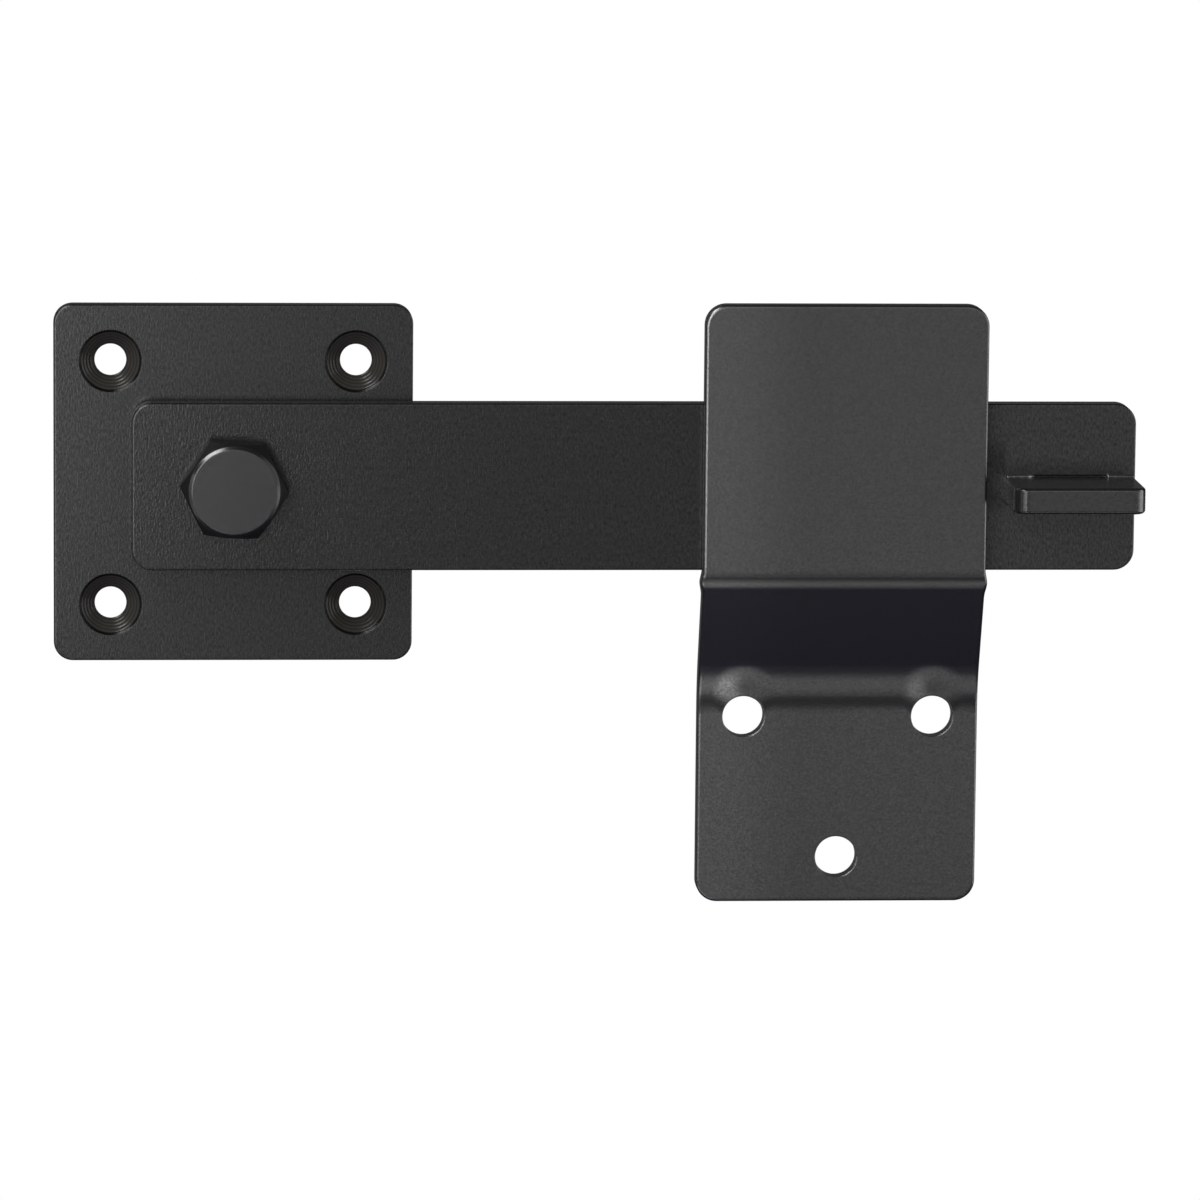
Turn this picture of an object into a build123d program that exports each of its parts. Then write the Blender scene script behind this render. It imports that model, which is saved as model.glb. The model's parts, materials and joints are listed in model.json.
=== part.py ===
from build123d import *

import os
from math import radians, sqrt, tan

# Flip gate latch: a flat bar turns on a shoulder bolt that is riveted into a screwed base plate,
# and drops behind a joggled keeper on the post. A thumb tab at the bar's free end lifts it.
# Millimetres. X runs along the closed bar, Z is up, and Y points into the gate. The origin is on
# the bolt's axis, in the plane that both plates are screwed to. Depths are counted from that plane
# towards the person who opens the gate.

# Base plate
plate_side = 60.0
plate_thickness = 3.0
plate_corner_radius = 3.2
plate_edge_radius = 0.4
plate_screw_pitch = 41.0
plate_screw_hole = 5.3
plate_screw_sink = 9.8
sink_angle = 90.0
sink_mouth = 10.5
sink_mouth_angle = 120.0
sink_mouth_depth = 0.45

# Pivot bolt: a hexagon head, a shoulder that the bar turns on, and a riveted stem
shoulder_diameter = 10.0
stem_diameter = 8.0
rivet_diameter = 11.4
rivet_recess = 0.1
head_across_flats = 15.7
head_height = 6.4
head_face_diameter = 14.1
head_rim_diameter = 15.2
head_rim_angle = 30.0
head_chamfer_angle = 60.0
head_turn = -3.7

# Washer that keeps the bar off the plate
washer_diameter = 20.0
washer_thickness = 1.0
washer_edge = 0.2

# Bar
bar_length = 168.2
bar_width = 28.1
bar_thickness = 4.0
bar_corner_radius = 3.4
bar_edge_radius = 0.35
bar_back_chamfer = 0.3
pivot_inset = 17.0

# Thumb tab
tab_width = 22.1
tab_thickness = 4.4
tab_projection = 14.8
tab_drop = 0.5
tab_corner_radius = 2.3
tab_edge_radius = 0.6
tenon_width = 12.2
slot_corner_radius = 0.5
shoulder_weld_leg = 0.35

# Keeper
keeper_thickness = 3.0
keeper_width = 47.5
keeper_corner_radius = 3.6
keeper_edge_radius = 0.5
keeper_lip = 16.95
keeper_bend_drop = 1.85
joggle_height = 18.9
keeper_foot_height = 36.7
lead_in_rise = 1.9
lead_in_angle = 5.0
lead_in_radius = 19.0
upper_bend_inner_radius = 3.0
lower_bend_inner_radius = 20.5
bend_flare = 0.35
flare_half_height = 2.6
keeper_screw_hole = 7.0
keeper_screw_pitch = 32.0
keeper_screw_rise = 24.1
keeper_low_screw_inset = 7.7

# Clearances: radial on the shoulder and the stem, axial on each side of the bar, between the bar's
# face and the keeper, round the tenon, and from the keeper's edge to the tab that swings past it
bore_running_clearance = 0.05
stem_clearance = 0.02
washer_bore_clearance = 0.2
side_play = 0.1
keeper_gap = 0.6
slot_clearance = 0.15
keeper_to_tab = 3.3

# Depths that follow from the stack on the bolt
bar_back = plate_thickness + washer_thickness + side_play
bar_front = bar_back + bar_thickness
head_seat = bar_front + side_play
head_front = head_seat + head_height
keeper_front = bar_front + keeper_gap + keeper_thickness

# Places along the bar
bar_middle = bar_length / 2 - pivot_inset
bar_end = bar_length - pivot_inset
tab_middle = bar_end - tab_width / 2
keeper_right = bar_end - tab_width - keeper_to_tab
keeper_left = keeper_right - keeper_width
keeper_middle = keeper_right - keeper_width / 2

# Heights of the keeper's top, of the corners of its bends, of its foot and of its screws
keeper_top = bar_width / 2 + keeper_lip
upper_bend = -bar_width / 2 - keeper_bend_drop
lower_bend = upper_bend - joggle_height
keeper_bottom = lower_bend - keeper_foot_height
low_screw = keeper_bottom + keeper_low_screw_inset
screw_pair = low_screw + keeper_screw_rise

# The mounting plane as seen from the front, and as seen from behind
front_view = Plane.XZ
rear_view = Plane(origin=(0, 0, 0), x_dir=(1, 0, 0), z_dir=(0, 1, 0))


# Base plate: blanked from 3 mm steel. Each of its four screw holes has a short straight wall above
# its countersink, and a mouth whose edge is broken at a shallow angle. A countersink in the back
# takes the end of the bolt's stem, which is riveted into it, so that the plate lies flat on the gate
with BuildPart() as base_plate:
    with BuildSketch(front_view):
        RectangleRounded(plate_side, plate_side, plate_corner_radius)
    extrude(amount=plate_thickness)
    fillet(base_plate.faces().sort_by(Axis.Y)[0].edges(), plate_edge_radius)
    for depth, width, angle in (
        (sink_mouth_depth, plate_screw_sink, sink_angle),
        (0, sink_mouth, sink_mouth_angle),
    ):
        with Locations(front_view.offset(plate_thickness - depth)):
            with GridLocations(plate_screw_pitch, plate_screw_pitch, 2, 2):
                CounterSinkHole(plate_screw_hole / 2, width / 2, counter_sink_angle=angle)
    with Locations(rear_view):
        CounterSinkHole(
            stem_diameter / 2 + stem_clearance,
            rivet_diameter / 2 + stem_clearance,
            counter_sink_angle=sink_angle,
        )
base_plate.part.label = "base_plate"


# Washer: a turned steel ring on the bolt's shoulder, between plate and bar
with BuildPart() as pivot_washer:
    with BuildSketch(front_view.offset(plate_thickness)):
        Circle(washer_diameter / 2)
        Circle(shoulder_diameter / 2 + washer_bore_clearance, mode=Mode.SUBTRACT)
    extrude(amount=washer_thickness)
    rims = pivot_washer.edges().filter_by(GeomType.CIRCLE)
    chamfer(rims.group_by(SortBy.RADIUS)[-1].sort_by(Axis.Y)[0], washer_edge)
pivot_washer.part.label = "pivot_washer"


# Pivot bolt: the shank is one revolved section, from the flush rivet over the stem to the shoulder.
# The hexagon head is turned off in two steps round its flat face: a narrow shallow rim, then steeply
# across the corners
sink_spread = tan(radians(sink_angle / 2))
rivet_depth = (rivet_diameter - stem_diameter) / 2 / sink_spread
corner_reach = head_across_flats / sqrt(3)
rim_drop = (head_rim_diameter - head_face_diameter) / 2 * tan(radians(head_rim_angle))
corner_drop = (corner_reach - head_rim_diameter / 2) * tan(radians(head_chamfer_angle))
with BuildPart() as pivot_bolt:
    with BuildSketch():
        with BuildLine():
            Polyline(
                (0, -rivet_recess),
                (rivet_diameter / 2 - rivet_recess * sink_spread, -rivet_recess),
                (stem_diameter / 2, -rivet_depth),
                (stem_diameter / 2, -plate_thickness),
                (shoulder_diameter / 2, -plate_thickness),
                (shoulder_diameter / 2, -head_seat),
                (0, -head_seat),
                close=True,
            )
        make_face()
    revolve(axis=Axis.Y)
    with BuildSketch(front_view.offset(head_seat)):
        RegularPolygon(head_across_flats / 2, 6, major_radius=False, rotation=head_turn)
    extrude(amount=head_height)
    with BuildSketch():
        with BuildLine():
            Polyline(
                (head_face_diameter / 2, -head_front),
                (corner_reach, -head_front),
                (corner_reach, -head_front + rim_drop + corner_drop),
                (head_rim_diameter / 2, -head_front + rim_drop),
                close=True,
            )
        make_face()
    revolve(axis=Axis.Y, mode=Mode.SUBTRACT)
pivot_bolt.part.label = "pivot_bolt"


# Bar: cut from flat stock with rounded corners, its edges rounded in front and chamfered behind. It
# is bored for the bolt at one end and slotted for the tab's tenon at the other
with BuildPart() as latch_bar:
    with BuildSketch(front_view.offset(bar_back)):
        with Locations((bar_middle, 0)):
            RectangleRounded(bar_length, bar_width, bar_corner_radius)
    extrude(amount=bar_thickness)
    fillet(latch_bar.faces().sort_by(Axis.Y)[0].edges(), bar_edge_radius)
    chamfer(latch_bar.faces().sort_by(Axis.Y)[-1].edges(), bar_back_chamfer)
    with Locations(front_view.offset(bar_front)):
        Hole(shoulder_diameter / 2 + bore_running_clearance)
    with BuildSketch(front_view.offset(bar_back)):
        with Locations((tab_middle, -tab_drop)):
            RectangleRounded(
                tenon_width + 2 * slot_clearance,
                tab_thickness + 2 * slot_clearance,
                slot_corner_radius,
            )
    extrude(amount=bar_thickness, mode=Mode.SUBTRACT)
latch_bar.part.label = "latch_bar"


# Thumb tab: a thick plate that stands out from the bar's face, a little below the bar's middle. Its
# tenon passes through the slot, and its two shoulders sit on the face with a thin weld above and
# below
tab_underside = Plane.XY.offset(-tab_drop - tab_thickness / 2)
shoulder_width = (tab_width - tenon_width) / 2
weld_length = shoulder_width - tab_edge_radius
weld_root = tab_thickness / 2 - tab_edge_radius
with BuildPart() as thumb_tab:
    with BuildSketch(tab_underside):
        with Locations((tab_middle, -bar_front - tab_projection / 2)):
            Rectangle(tab_width, tab_projection)
    extrude(amount=tab_thickness)
    fillet(thumb_tab.edges().filter_by(Axis.Z).group_by(Axis.Y)[0], tab_corner_radius)
    rims = thumb_tab.faces().filter_by(Axis.Z).edges()
    fillet(rims.filter_by(lambda rim: rim.center().Y < -bar_front), tab_edge_radius)
    with BuildSketch(tab_underside):
        with Locations((tab_middle, -bar_front + bar_thickness / 2)):
            Rectangle(tenon_width, bar_thickness)
    extrude(amount=tab_thickness)
    for weld_start in (bar_end - tab_width, bar_end - shoulder_width):
        weld_end = Plane(
            origin=(weld_start + tab_edge_radius / 2, -bar_front, -tab_drop),
            x_dir=(0, -1, 0),
            z_dir=(1, 0, 0),
        )
        with BuildSketch(weld_end):
            for side in (1, -1):
                with BuildLine():
                    Polyline(
                        (0, side * weld_root),
                        (0, side * (tab_thickness / 2 + shoulder_weld_leg)),
                        (shoulder_weld_leg, side * tab_thickness / 2),
                        (shoulder_weld_leg, side * weld_root),
                        close=True,
                    )
                make_face()
        extrude(amount=weld_length)
thumb_tab.part.label = "thumb_tab"


# Keeper: one strip of 3 mm steel, joggled so that its upper half stands clear of the post for the
# bar, and its foot lies flat on the post under three screws. The upper bend starts softly, turns
# tightly and bulges past the strip's edges where the metal was squeezed. The lower bend has a wide
# radius, and the two upper screw holes run into it
with BuildPart() as keeper:
    with BuildSketch(Plane.YZ.offset(keeper_left - bend_flare)):
        with BuildLine():
            front_line = FilletPolyline(
                (-keeper_front, keeper_top),
                (-keeper_front, upper_bend + lead_in_rise),
                (-keeper_front + lead_in_rise * tan(radians(lead_in_angle)), upper_bend),
                (-keeper_thickness, lower_bend),
                (-keeper_thickness, keeper_bottom),
                radius=(
                    lead_in_radius,
                    upper_bend_inner_radius + keeper_thickness,
                    lower_bend_inner_radius,
                ),
            )
            offset(front_line, amount=keeper_thickness, side=Side.LEFT)
        make_face()
    extrude(amount=keeper_width + 2 * bend_flare)
    with BuildSketch(front_view):
        with Locations((keeper_middle, (keeper_top + keeper_bottom) / 2)):
            RectangleRounded(keeper_width, keeper_top - keeper_bottom, keeper_corner_radius)
        for strip_edge, outward in ((keeper_left, -1), (keeper_right, 1)):
            flare_top = (strip_edge, upper_bend + flare_half_height)
            flare_tip = (strip_edge + outward * bend_flare, upper_bend)
            flare_foot = (strip_edge, upper_bend - flare_half_height)
            with BuildLine():
                Spline(flare_top, flare_tip, flare_foot, tangents=((0, -1), (0, -1)))
                Line(flare_foot, flare_top)
            make_face()
    extrude(amount=keeper_front, mode=Mode.INTERSECT)
    front_rims = keeper.edges().filter_by(
        lambda rim: front_line.distance_to(Vector(rim.center().Y, rim.center().Z)) < 0.01
    )
    bend_seams = front_rims.filter_by(Axis.X).sort_by(Axis.Z)[1:-1]
    fillet(front_rims - bend_seams, keeper_edge_radius)
    with BuildSketch(front_view):
        with Locations((keeper_middle, screw_pair)):
            with GridLocations(keeper_screw_pitch, 0, 2, 1):
                Circle(keeper_screw_hole / 2)
        with Locations((keeper_middle, low_screw)):
            Circle(keeper_screw_hole / 2)
    extrude(amount=keeper_front, mode=Mode.SUBTRACT)
keeper.part.label = "keeper"


os.makedirs("parts", exist_ok=True)
for piece in (base_plate, pivot_washer, pivot_bolt, latch_bar, thumb_tab, keeper):
    export_step(piece.part, f"parts/{piece.part.label}.step")
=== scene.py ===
import json
from math import pi, radians

import bmesh
import bpy
import numpy as np
from mathutils import Matrix, Vector


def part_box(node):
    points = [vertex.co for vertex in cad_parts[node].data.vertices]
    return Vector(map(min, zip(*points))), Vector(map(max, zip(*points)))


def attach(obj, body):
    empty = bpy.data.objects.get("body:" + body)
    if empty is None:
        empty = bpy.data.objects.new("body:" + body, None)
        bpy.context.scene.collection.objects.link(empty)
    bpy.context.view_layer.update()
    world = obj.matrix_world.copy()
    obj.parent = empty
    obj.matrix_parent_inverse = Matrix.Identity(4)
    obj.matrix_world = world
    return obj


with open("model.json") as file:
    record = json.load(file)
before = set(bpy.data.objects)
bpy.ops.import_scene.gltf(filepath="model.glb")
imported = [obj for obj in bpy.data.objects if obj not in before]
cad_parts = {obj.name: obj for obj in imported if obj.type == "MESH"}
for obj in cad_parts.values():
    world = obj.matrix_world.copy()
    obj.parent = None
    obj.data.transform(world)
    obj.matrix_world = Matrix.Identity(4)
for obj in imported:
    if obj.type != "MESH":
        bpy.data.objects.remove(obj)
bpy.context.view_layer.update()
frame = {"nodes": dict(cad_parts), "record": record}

nodes = frame["nodes"]
mounts = {mount["name"]: mount for mount in frame["record"]["mounts"]}


# Base plate: blanked from 3 mm flat steel and dipped in satin black. The coat wrinkles a little as
# it dries, mostly upright, because the plate hangs from one of its screw holes. The countersinks are
# drilled, and their turning marks show through.


def linear(hex_colour):
    """Turns an sRGB hex colour into the linear red, green, blue and alpha that a shader wants."""
    channels = np.array([int(hex_colour[i:i + 2], 16) for i in (1, 3, 5)]) / 255
    light = np.where(channels <= 0.04045, channels / 12.92, ((channels + 0.055) / 1.055) ** 2.4)
    return (*light.tolist(), 1.0)


def add_node(material, kind, settings=None, **links):
    """Adds one shader node. Settings are its properties or the values of its sockets. Links are the
    sources of its sockets, by name, with _ for a space, or by number, as n0."""
    node = material.node_tree.nodes.new("ShaderNode" + kind)
    for name, value in (settings or {}).items():
        if name in node.inputs:
            node.inputs[name].default_value = value
        else:
            setattr(node, name, value)
    for name, source in links.items():
        socket = node.inputs[int(name[1:])] if name[0] == "n" else node.inputs[name.replace("_", " ")]
        material.node_tree.links.new(source, socket)
    return node


satin_swing = 0.03


def black_coat(name, dark, light, marks_mm, relief_mm, roughness, ior, arris_mm, mottle=0.2):
    """Thin black coat over steel. Most of its tone is the studio seen in its sheen, so its marks, of
    the given size along X, Y and Z, change its sheen and tilt its skin more than its colour.
    arris_mm is the radius that the coat gives to the steel's edges. mottle is how far the sheen
    goes up and down round one half, and the roughness goes up and down by satin_swing."""
    material = bpy.data.materials.new(name)
    material.use_nodes = True
    shader = material.node_tree.nodes["Principled BSDF"]
    shader.inputs["IOR"].default_value = ior
    link = material.node_tree.links.new
    place = add_node(material, "TexCoord").outputs["Object"]
    per_metre = [1000 / size for size in marks_mm]
    marks_place = add_node(material, "Mapping", {"Scale": per_metre}, Vector=place).outputs[0]
    marks = add_node(
        material, "TexNoise", {"Scale": 1.0, "Detail": 1.0, "Roughness": 0.5, "Distortion": 0.4},
        Vector=marks_place,
    ).outputs[0]
    spread = {"From Min": 0.25, "From Max": 0.75}
    share = add_node(material, "MapRange", spread, Value=marks).outputs[0]
    colour = add_node(material, "Mix", {"data_type": "RGBA"}, n0=share)
    colour.inputs[6].default_value = linear(dark)
    colour.inputs[7].default_value = linear(light)
    link(colour.outputs[2], shader.inputs["Base Color"])
    patchy = {**spread, "To Min": 0.5 - mottle, "To Max": 0.5 + mottle}
    sheen = add_node(material, "MapRange", patchy, Value=marks)
    link(sheen.outputs[0], shader.inputs["Specular IOR Level"])
    satin = {**spread, "To Min": roughness + satin_swing, "To Max": roughness - satin_swing}
    link(add_node(material, "MapRange", satin, Value=marks).outputs[0], shader.inputs["Roughness"])
    edges = add_node(material, "Bevel", {"samples": 6, "Radius": arris_mm / 1000}).outputs[0]
    skin = add_node(material, "Bump", {"Distance": relief_mm / 1000}, Height=marks, Normal=edges)
    link(skin.outputs[0], shader.inputs["Normal"])
    return material


def add_relief(material, height, relief_mm):
    """Lays one more relief on a coat, over the marks that it has."""
    shader = material.node_tree.nodes["Principled BSDF"]
    skin = shader.inputs["Normal"].links[0].from_socket
    relief = add_node(material, "Bump", {"Distance": relief_mm / 1000}, Height=height, Normal=skin)
    material.node_tree.links.new(relief.outputs[0], shader.inputs["Normal"])


multiply = {"operation": "MULTIPLY"}


def scale_input(material, socket_name, factor):
    """Multiplies what feeds one of a coat's sockets by a factor that varies over the surface."""
    shader = material.node_tree.nodes["Principled BSDF"]
    before = shader.inputs[socket_name].links[0].from_socket
    after = add_node(material, "Math", multiply, n0=before, n1=factor).outputs[0]
    material.node_tree.links.new(after, shader.inputs[socket_name])


def dress(node_name, material):
    """Gives a CAD node its finish."""
    mesh = nodes[node_name].data
    mesh.materials.clear()
    mesh.materials.append(material)


# Dipped satin enamel: very dark, with a soft sheen broken up by fine upright wrinkles
wrinkle_mm = (0.3, 0.3, 0.7)
plate_enamel = black_coat(
    "satin_enamel_on_plate", "#1a1a1a", "#252525", wrinkle_mm,
    relief_mm=0.01, roughness=0.22, ior=1.51, arris_mm=0.15,
)

# Countersinks' walls: what lies nearer to a screw than the mouth, and deeper than the mouth's break.
# This zone and the mouth's also mark the plate's back round the holes, where it lies on the gate
screw_reach = mounts["plate_screws"]["dims"]["spacing_x_mm"] / 2000
mouth_radius = 0.0049
plate_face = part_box("base_plate")[0].y
place = add_node(plate_enamel, "TexCoord").outputs["Object"]
mirrored = add_node(plate_enamel, "VectorMath", {"operation": "ABSOLUTE"}, n0=place).outputs[0]
from_screw = add_node(plate_enamel, "VectorMath", {"operation": "SUBTRACT"}, n0=mirrored)
from_screw.inputs[1].default_value = (screw_reach, 0, screw_reach)
flattened = add_node(plate_enamel, "VectorMath", multiply, n0=from_screw.outputs[0])
flattened.inputs[1].default_value = (1, 0, 1)
reach = add_node(
    plate_enamel, "VectorMath", {"operation": "LENGTH"}, n0=flattened.outputs[0],
).outputs["Value"]
depth = add_node(plate_enamel, "SeparateXYZ", None, Vector=place).outputs["Y"]
below_break = {"From Min": plate_face + 0.0003, "From Max": plate_face + 0.0005}
sunk = add_node(plate_enamel, "MapRange", below_break, Value=depth).outputs[0]
within_mouth = {"From Min": mouth_radius + 0.0002, "From Max": mouth_radius}
near = add_node(plate_enamel, "MapRange", within_mouth, Value=reach).outputs[0]
inside = add_node(plate_enamel, "Math", multiply, n0=sunk, n1=near).outputs[0]

# Turning marks: rings about the screw, where the coat is thinner and a little brown. The drill's
# own marks are about 0.15 mm apart, and they are drawn at 0.5 mm so that they show
turning_pitch_mm = 0.5
turns = add_node(plate_enamel, "Math", multiply, n0=reach)
turns.inputs[1].default_value = 2 * pi * 1000 / turning_pitch_mm
rings = add_node(plate_enamel, "Math", {"operation": "SINE"}, n0=turns.outputs[0]).outputs[0]
turning = add_node(plate_enamel, "Math", multiply, n0=rings, n1=inside).outputs[0]
add_relief(plate_enamel, turning, relief_mm=0.017)
shader = plate_enamel.node_tree.nodes["Principled BSDF"]
coated = shader.inputs["Base Color"].links[0].from_socket
crest = add_node(plate_enamel, "MapRange", {"From Min": -1.0}, Value=rings).outputs[0]
scored = add_node(plate_enamel, "Mix", {"data_type": "RGBA"}, n0=crest)
scored.inputs[6].default_value = linear("#292725")
scored.inputs[7].default_value = linear("#363431")
thinned = add_node(
    plate_enamel, "Mix", {"data_type": "RGBA"}, n0=inside, n6=coated, n7=scored.outputs[2],
)

# Countersinks' mouths: painted shade, a black, matt ring on each mouth's break, where the rim's
# shadow falls
wall_end = {"From Min": mouth_radius - 0.00005, "From Max": mouth_radius}
past_wall = add_node(plate_enamel, "MapRange", wall_end, Value=reach).outputs[0]
break_end = {"From Min": mouth_radius + 0.0004, "From Max": mouth_radius + 0.0003}
before_face = add_node(plate_enamel, "MapRange", break_end, Value=reach).outputs[0]
rim_shade_zone = add_node(plate_enamel, "Math", multiply, n0=past_wall, n1=before_face).outputs[0]
painted_rim_shade = add_node(plate_enamel, "Mix", {"data_type": "RGBA"}, n0=rim_shade_zone, n6=thinned.outputs[2])
painted_rim_shade.inputs[7].default_value = linear("#0c0c0c")
plate_enamel.node_tree.links.new(painted_rim_shade.outputs[2], shader.inputs["Base Color"])
# The sheen drops on the mouth's break, as painted shade, and inside the countersinks, where the coat
# is thin
for zone, sheen_left in ((rim_shade_zone, 0.35), (inside, 0.5)):
    dulling = add_node(plate_enamel, "MapRange", {"To Min": 1.0, "To Max": sheen_left}, Value=zone)
    scale_input(plate_enamel, "Specular IOR Level", dulling.outputs[0])
dress("base_plate", plate_enamel)


# Pivot washer: a punched steel ring between plate and bar, blackened in oil. Only its edge can be
# seen, from the side.

# Oil-blackened steel: close to matt, with the faint mottle of the blackening bath
washer_black = black_coat(
    "oil_blackened_washer", "#191919", "#212121", (0.5, 0.5, 0.5),
    relief_mm=0.006, roughness=0.38, ior=1.5, arris_mm=0.1,
)
dress("pivot_washer", washer_black)


# Pivot bolt: a cold-forged steel head, turned flat on its face, oil-blackened and riveted into the
# plate. Its face is the smoothest thing on the latch, and its turned-off corners are the darkest.

# Oil-blackened forging: a deep black with an even, fairly strong sheen
bolt_black = black_coat(
    "oil_blackened_forging", "#131313", "#161616", (0.6, 0.6, 0.6),
    relief_mm=0.002, roughness=0.2, ior=1.84, arris_mm=0.2, mottle=0.05,
)

# Forging scale: round the turned face, the corners and flats are matt and take the light softly
turned_radius = 0.0076
place = add_node(bolt_black, "TexCoord").outputs["Object"]
flattened = add_node(bolt_black, "VectorMath", multiply, n0=place)
flattened.inputs[1].default_value = (1, 0, 1)
from_axis = add_node(
    bolt_black, "VectorMath", {"operation": "LENGTH"}, n0=flattened.outputs[0],
).outputs["Value"]
face_edge = {"From Min": turned_radius - 0.0001, "From Max": turned_radius + 0.0001}
for socket_name, outside in (("Roughness", 2.4), ("Specular IOR Level", 0.25)):
    scaling = {**face_edge, "To Min": 1.0, "To Max": outside}
    factor = add_node(bolt_black, "MapRange", scaling, Value=from_axis).outputs[0]
    scale_input(bolt_black, socket_name, factor)
dress("pivot_bolt", bolt_black)


# Latch bar: 4 mm cold-drawn flat steel with rounded corners, dipped like the plate. It hung from its
# tab slot, so its wrinkles run along its width. It turns on the bolt, and its sheen rises towards
# its free end, a painted highlight.

# Dipped satin enamel: as on the plate, a little darker and with a stronger grain
bar_enamel = black_coat(
    "satin_enamel_on_bar", "#121212", "#202020", wrinkle_mm,
    relief_mm=0.018, roughness=0.21, ior=1.53, arris_mm=0.15,
)
smooth = {"interpolation_type": "SMOOTHSTEP"}


def painted_sheen_ramp(material, start, end, gain):
    """Scales a coat's sheen along X, smoothly from 1 at start to gain at end: painted highlight over
    1, painted shade under 1.
    """
    place = add_node(material, "TexCoord").outputs["Object"]
    along = add_node(material, "SeparateXYZ", None, Vector=place).outputs["X"]
    slope = {**smooth, "From Min": start, "From Max": end, "To Min": 1.0, "To Max": gain}
    factor = add_node(material, "MapRange", slope, Value=along).outputs[0]
    scale_input(material, "Specular IOR Level", factor)


keeper_left, keeper_right = (corner.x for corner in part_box("keeper"))
# Painted highlight: the bar's sheen rises towards its free end
painted_sheen_ramp(bar_enamel, keeper_right - 0.005, keeper_right + 0.004, gain=1.65)

# Slot edge: a fine groove over the tenon, where the enamel drew back from the joint
tab_low, tab_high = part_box("thumb_tab")
shoulder_length = 0.00495
shoulder_weld_leg = 0.00035
tab_top = tab_high.z - shoulder_weld_leg
tab_half = (tab_high.x - tab_low.x) / 2
tenon_half = tab_half - shoulder_length
groove_height = tab_top + 0.0002
groove_half_width = 0.00025
place = add_node(bar_enamel, "TexCoord").outputs["Object"]
centred = add_node(bar_enamel, "VectorMath", {"operation": "SUBTRACT"}, n0=place)
centred.inputs[1].default_value = ((tab_low.x + tab_high.x) / 2, 0, groove_height)
centred = add_node(bar_enamel, "VectorMath", {"operation": "ABSOLUTE"}, n0=centred.outputs[0])
away = add_node(bar_enamel, "SeparateXYZ", None, Vector=centred.outputs[0]).outputs
tenon_end = {"From Min": tenon_half - 0.0001, "From Max": tenon_half + 0.0001}
beside_tenon = add_node(bar_enamel, "MapRange", tenon_end, Value=away["X"]).outputs[0]
groove_side = {**smooth, "From Min": 0.0, "From Max": groove_half_width}
off_groove = add_node(bar_enamel, "MapRange", groove_side, Value=away["Z"]).outputs[0]
groove = add_node(bar_enamel, "Math", {"operation": "MAXIMUM"}, n0=beside_tenon, n1=off_groove)
add_relief(bar_enamel, groove.outputs[0], relief_mm=0.25)

# Painted shade: the bar's sheen is lowered close beside the tab, where the tab's side would show
# mirrored
corner = None
for axis, none_at, full_at in (
    ("X", tab_half - 0.0005, tab_half + 0.0003),
    ("X", tab_half + 0.005, tab_half + 0.002),
    ("Z", 0.0075, 0.003),
):
    fade = {**smooth, "From Min": none_at, "From Max": full_at}
    zone = add_node(bar_enamel, "MapRange", fade, Value=away[axis]).outputs[0]
    corner = add_node(bar_enamel, "Math", multiply, n0=corner, n1=zone).outputs[0] if corner else zone
dulling = add_node(bar_enamel, "MapRange", {"To Min": 1.0, "To Max": 0.58}, Value=corner)
scale_input(bar_enamel, "Specular IOR Level", dulling.outputs[0])
dress("latch_bar", bar_enamel)


# Thumb tab: a thick sheared plate whose tenon passes through the bar. It was welded on before the
# dip, and its coat has a stronger sheen than the rest, a painted highlight.

# Tab enamel: the same black with a stronger sheen, a painted highlight, and finer, lower wrinkles.
# The left corner, close to the keeper, has its sheen lowered, a painted shade that dims its highlight
tab_enamel = black_coat(
    "enamel_on_tab_with_painted_sheen", "#161616", "#1e1e1e", (0.45, 0.45, 0.45),
    relief_mm=0.008, roughness=0.2, ior=1.87, arris_mm=0.2, mottle=0.1,
)
painted_sheen_ramp(tab_enamel, tab_low.x + 0.003, tab_low.x + 0.0013, gain=0.28)
dress("thumb_tab", tab_enamel)


# Tab welds: four short fillet welds, where the tab's shoulders sit on the bar. Each starts with a
# blob beside the tenon, runs outwards in small ripples and dies out.
weld_leg = 0.0007
weld_blob = 0.00012
weld_blob_reach = 0.0006
weld_run_out = 0.4
weld_end_inset = 0.0002
ripple_pitch = 0.0014
ripple_share = 0.015
end_rounding = 14
bar_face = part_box("latch_bar")[0].y
tab_bottom = tab_low.z + shoulder_weld_leg


def weld_bead(start, end, face, root, upward, steps=90, turns=14):
    """A quarter-round bead along X in the corner between the bar's face and the tab's shoulder. Its
    leg is weld_leg, falling by weld_run_out of itself towards the end, plus a bell-shaped blob at
    the start. A sine ripple and a rounding that closes both ends multiply it. Returns a grid of
    points."""
    along, turn = np.meshgrid(np.linspace(0, 1, steps), np.linspace(0, pi / 2, turns), indexing="ij")
    x = start + (end - start) * along
    from_start = np.abs(x - start)
    blob = weld_blob * np.exp(-((from_start / weld_blob_reach) ** 2))
    leg = weld_leg * (1 - weld_run_out * along) + blob
    leg = leg * (1 + ripple_share * np.sin(2 * pi * from_start / ripple_pitch))
    leg = leg * np.sqrt(np.clip(1 - (2 * along - 1) ** end_rounding, 0, 1))
    y = face - leg * np.cos(turn)
    z = root + upward * leg * np.sin(turn)
    return np.stack([x, y, z], axis=-1)


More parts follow.
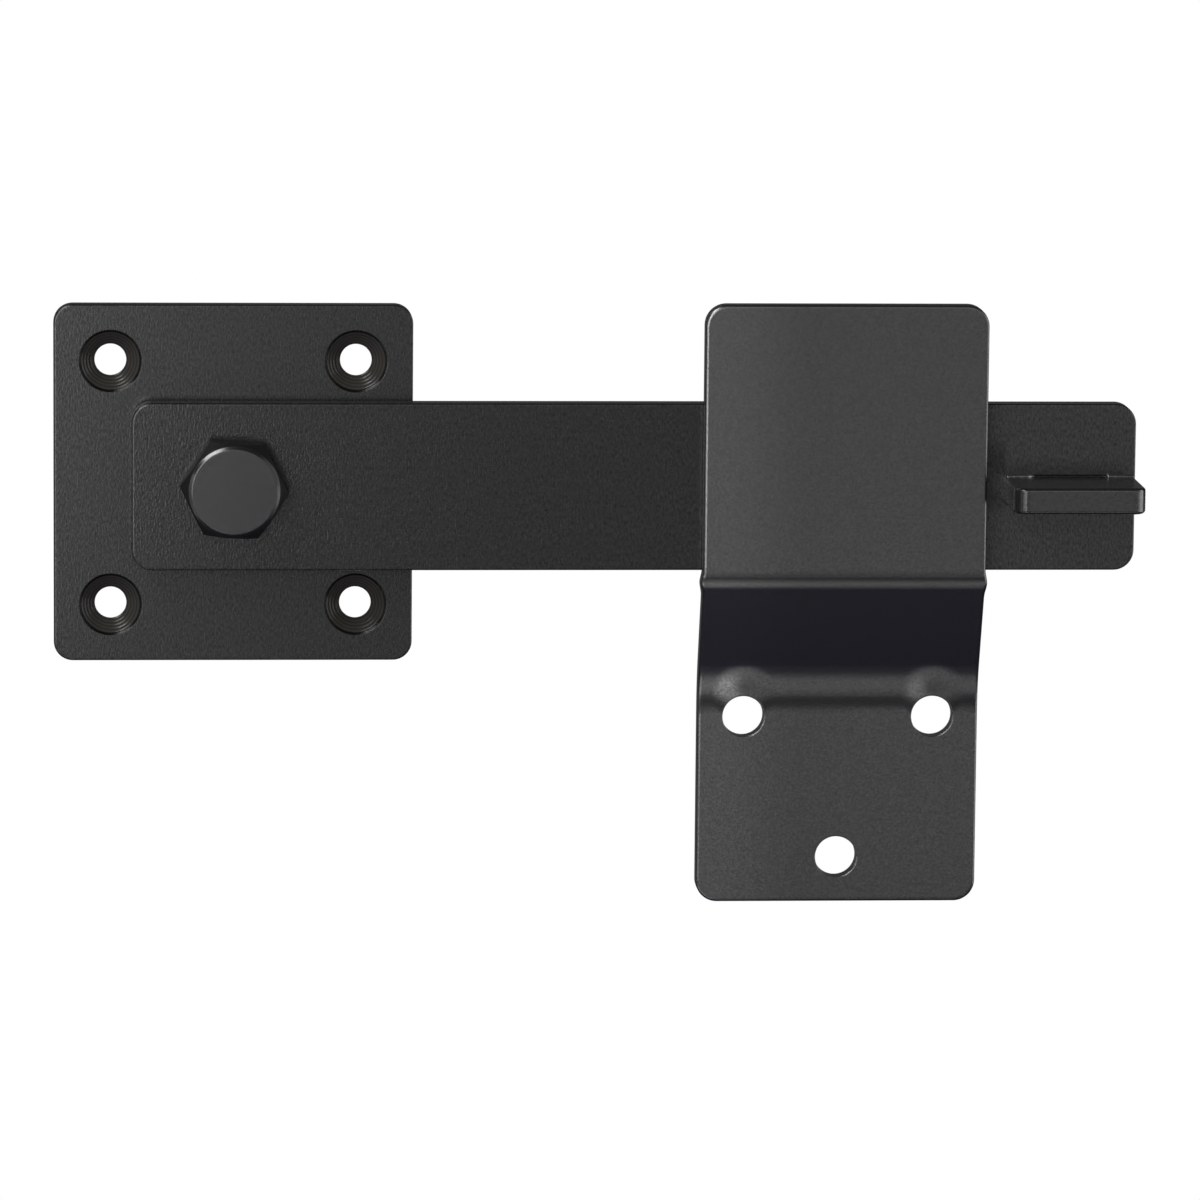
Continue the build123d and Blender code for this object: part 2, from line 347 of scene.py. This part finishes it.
def closed_bead(grid, face, root, outward):
    """Turns a bead's grid into points and faces. A row of points along the root line closes its back,
    and each ring of the grid joins round to it. outward is -1 where the grid runs the other way
    round, so that its faces are turned over. Also tells which faces belong to the round."""
    steps, turns = grid.shape[:2]
    root_line = np.stack([grid[:, 0, 0], np.full(steps, face), np.full(steps, root)], axis=-1)
    points = np.concatenate([grid, root_line[:, None]], axis=1)
    index = np.arange(steps * (turns + 1)).reshape(steps, turns + 1)
    onward = np.roll(index, -1, axis=1)
    quads = np.stack([index[:-1], index[1:], onward[1:], onward[:-1]], axis=-1)[..., ::outward]
    on_round = np.broadcast_to(np.arange(turns + 1) < turns - 1, quads.shape[:2])
    return points.reshape(-1, 3), quads.reshape(-1, 4), on_round.reshape(-1)


beads = []
for start, end in (
    (tab_low.x + shoulder_length, tab_low.x + weld_end_inset),
    (tab_high.x - shoulder_length, tab_high.x - weld_end_inset),
):
    for root, upward in ((tab_top, 1), (tab_bottom, -1)):
        bead = weld_bead(start, end, bar_face, root, upward)
        beads.append(closed_bead(bead, bar_face, root, upward if end > start else -upward))
points = np.concatenate([bead[0] for bead in beads])
offsets = np.cumsum([0] + [len(bead[0]) for bead in beads[:-1]])
faces = np.concatenate([bead[1] + offset for bead, offset in zip(beads, offsets)])
weld_mesh = bpy.data.meshes.new("tab_welds")
weld_mesh.from_pydata(points.tolist(), [], faces.tolist())
weld_mesh.polygons.foreach_set("use_smooth", np.concatenate([bead[2] for bead in beads]))

# Each end of a bead shrinks to one point, so the doubled points are merged
merged = bmesh.new()
merged.from_mesh(weld_mesh)
bmesh.ops.remove_doubles(merged, verts=merged.verts, dist=1e-6)
merged.to_mesh(weld_mesh)
merged.free()

# Enamel over weld: grey and shiny, a painted highlight that lifts the line along the tab's shoulders
weld_enamel = black_coat(
    "enamel_over_weld", "#2a2a2a", "#343434", (0.45, 0.45, 0.45),
    relief_mm=0.004, roughness=0.24, ior=1.9, arris_mm=0.1,
)
weld_mesh.materials.append(weld_enamel)
tab_welds = bpy.data.objects.new("tab_welds", weld_mesh)
bpy.context.scene.collection.objects.link(tab_welds)
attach(tab_welds, "bar")


# Keeper: pressed from 3 mm strip, then black zinc plated and sealed. Its skin is finer and shinier
# than the enamel. The two upper holes were punched before the bend, which drew the metal up round
# them.

# Sealed black zinc: a tight even skin with a stronger, cooler sheen. Its stipple is really about
# 0.1 mm, and it is drawn at 0.32 mm so that it shows
stipple_mm = (0.32, 0.32, 0.32)
keeper_zinc = black_coat(
    "sealed_black_zinc", "#18181a", "#1f1f22", stipple_mm,
    relief_mm=0.008, roughness=0.2, ior=2.06, arris_mm=0.4, mottle=0.11,
)

# Painted sheen: the sheen rises towards the left side, a painted highlight, and drops at its very
# edge, a painted shade that dims that edge's highlight
painted_sheen_ramp(keeper_zinc, keeper_left + 0.019, keeper_left + 0.002, gain=1.45)
painted_sheen_ramp(keeper_zinc, keeper_left + 0.0012, keeper_left + 0.0004, gain=0.68)

# Drawn metal: a low swelling just above each upper hole
pair = mounts["keeper_screw_pair"]
hole_x, _, hole_z = pair["pos_m"]
hole_reach = pair["dims"]["spacing_x_mm"] / 2000
swelling_rise = 0.0042
swelling_reach = 0.0056
place = add_node(keeper_zinc, "TexCoord").outputs["Object"]
centred = add_node(keeper_zinc, "VectorMath", {"operation": "SUBTRACT"}, n0=place)
centred.inputs[1].default_value = (hole_x, 0, hole_z)
split = add_node(keeper_zinc, "SeparateXYZ", None, Vector=centred.outputs[0]).outputs
aside = add_node(keeper_zinc, "Math", {"operation": "ABSOLUTE"}, n0=split["X"])
aside = add_node(keeper_zinc, "Math", {"operation": "SUBTRACT"}, n0=aside.outputs[0])
aside.inputs[1].default_value = hole_reach
above = add_node(keeper_zinc, "Math", {"operation": "SUBTRACT"}, n0=split["Z"])
above.inputs[1].default_value = swelling_rise
off_centre = add_node(keeper_zinc, "CombineXYZ", None, X=aside.outputs[0], Z=above.outputs[0])
distance = add_node(
    keeper_zinc, "VectorMath", {"operation": "LENGTH"}, n0=off_centre.outputs[0],
).outputs["Value"]
dome = {**smooth, "From Min": swelling_reach, "From Max": 0.0}
swelling = add_node(keeper_zinc, "MapRange", dome, Value=distance).outputs[0]
add_relief(keeper_zinc, swelling, relief_mm=0.36)
dress("keeper", keeper_zinc)


# Studio: a pale floor that shows as plain white, and the walls, tables, flags and soft boxes that the
# coats mirror. Walls, tables and flags are cards, bright to black, that the camera doesn't see. The
# low flag is a dim violet, which cools the faces that look down.


def pale_surface(name, colour):
    """Pale paint that the camera, gloss and glass see as plain white."""
    material = bpy.data.materials.new(name)
    material.use_nodes = True
    material.node_tree.nodes.clear()
    path = add_node(material, "LightPath").outputs
    brighter = {"operation": "MAXIMUM"}
    seen = add_node(
        material, "Math", brighter, n0=path["Is Camera Ray"], n1=path["Is Glossy Ray"],
    ).outputs[0]
    seen = add_node(material, "Math", brighter, n0=seen, n1=path["Is Transmission Ray"]).outputs[0]
    paint = add_node(material, "BsdfDiffuse", {"Color": linear(colour)}).outputs[0]
    white = add_node(material, "Emission", {"Strength": 1.0}).outputs[0]
    mixed = add_node(material, "MixShader", None, n0=seen, n1=paint, n2=white).outputs[0]
    add_node(material, "OutputMaterial", None, Surface=mixed)
    return material


def rectangle(name, corners):
    """A flat stage card with the given four corners."""
    mesh = bpy.data.meshes.new(name)
    mesh.from_pydata(corners, [], [(0, 1, 2, 3)])
    made = bpy.data.objects.new(name, mesh)
    bpy.context.scene.collection.objects.link(made)
    return made


def level(x, y, z):
    """The corners of a level rectangle at height z, over the ranges x and y."""
    return [(x[0], y[0], z), (x[1], y[0], z), (x[1], y[1], z), (x[0], y[1], z)]


def across(x, y, z):
    """The corners of an upright rectangle across the view at y, over the ranges x and z."""
    return [(x[0], y, z[0]), (x[1], y, z[0]), (x[1], y, z[1]), (x[0], y, z[1])]


def beside(x, y, z):
    """The corners of an upright rectangle at the side at x, over the ranges y and z."""
    return [(x, y[0], z[0]), (x, y[1], z[0]), (x, y[1], z[1]), (x, y[0], z[1])]


floor_reach = (-40.0, 40.0)
floor = rectangle("floor", level(floor_reach, floor_reach, -1.0))
floor.data.materials.append(pale_surface("floor_white", "#e8e8e8"))


def card(name, corners, strength, colour="#ffffff"):
    """A stage card of even glow, from black to bright, that the camera doesn't see."""
    made = rectangle(name, corners)
    made.visible_camera = False
    material = bpy.data.materials.new(name + "_face")
    material.use_nodes = True
    material.node_tree.nodes.clear()
    glow = add_node(material, "Emission", {"Color": linear(colour), "Strength": strength}).outputs[0]
    add_node(material, "OutputMaterial", None, Surface=glow)
    made.data.materials.append(material)


front, back = -1.6, 1.5
left, right = -1.2, 1.4
table_height, top = -0.9, 1.35
for row in (
    ("dark_wall", across((-2.0, 0.16), front, (-0.45, 0.0)), 0.19),
    ("grey_wall", across((0.16, 2.0), front, (-0.27, 0.0)), 0.35),
    ("grey_wall_foot", across((0.16, 2.0), front, (-0.45, -0.27)), 0.5),
    ("upper_wall", across((-0.1, 2.0), front, (0.4, 0.9)), 0.8),
    ("black_flag", across((-2.0, 2.0), front, (table_height, -0.45)), 0.0),
    ("grey_table", level((0.05, 2.0), (front, -0.78), table_height), 0.5),
    ("white_table", level((-2.0, 0.05), (front, -0.78), table_height), 1.6),
    ("low_flag", level((-0.6, 0.8), (-0.26, 0.3), -0.3), 0.036, "#a894ff"),
    ("left_wall", beside(left, (-1.2, -0.8), (-0.4, 0.35)), 1.6),
    ("left_high_flag", beside(left, (front, -0.8), (0.35, top)), 0.0),
    ("left_flag", beside(left, (-0.8, back), (table_height, top)), 0.12),
    ("right_wall", beside(right, (-0.6, 0.25), (-0.5, 0.7)), 2.0),
    ("right_flag", beside(right, (0.25, back), (table_height, top)), 0.0),
    ("top_flag", level((-1.5, 1.5), (front, back), top), 0.03),
    ("back_flag", across((-3.0, right), back, (0.02, top)), 0.08),
    ("back_foot_flag", across((-1.2, 0.5), back, (table_height, 0.02)), 0.1),
):
    card(*row)

world = bpy.data.worlds.new("studio")
bpy.context.scene.world = world
world.use_nodes = True
world.node_tree.nodes["Background"].inputs["Color"].default_value = (1, 1, 1, 1)
world.node_tree.nodes["Background"].inputs["Strength"].default_value = 0.35


def softbox(name, place, target, width, height, radiance):
    """An even area lamp at place, turned to target. Its power follows from its radiance."""
    light = bpy.data.lights.new(name, "AREA")
    light.shape = "RECTANGLE"
    light.size = width
    light.size_y = height
    light.energy = radiance * pi * width * height
    lamp = bpy.data.objects.new(name, light)
    bpy.context.scene.collection.objects.link(lamp)
    lamp.location = place
    lamp.rotation_euler = (Vector(target) - Vector(place)).to_track_quat("-Z", "Y").to_euler()
    lamp.visible_camera = False


softbox("left_softbox", (-0.6, -1.5, 0.215), (-0.6, 0, 0.215), 0.98, 0.97, radiance=4.4)
softbox("key_softbox", (-0.59, -0.65, 0.92), (0, 0, 0), 0.6, 0.6, radiance=8.0)

# Camera: a long lens a little above and to the left of the latch
camera = bpy.data.objects.new("camera", bpy.data.cameras.new("camera"))
bpy.context.scene.collection.objects.link(camera)
camera.location = (-0.0209, -1.21588, 0.15941)
looks_at = Vector((0.06185, 0, -0.02026))
camera_roll = 0.52
aim = (looks_at - camera.location).to_track_quat("-Z", "Y").to_matrix().to_4x4()
camera.rotation_euler = (aim @ Matrix.Rotation(radians(camera_roll), 4, "Z")).to_euler()
camera.data.sensor_width = 36
camera.data.lens = 219.15
camera.data.clip_end = 100
bpy.context.scene.camera = camera

bpy.context.scene.view_settings.view_transform = "Standard"
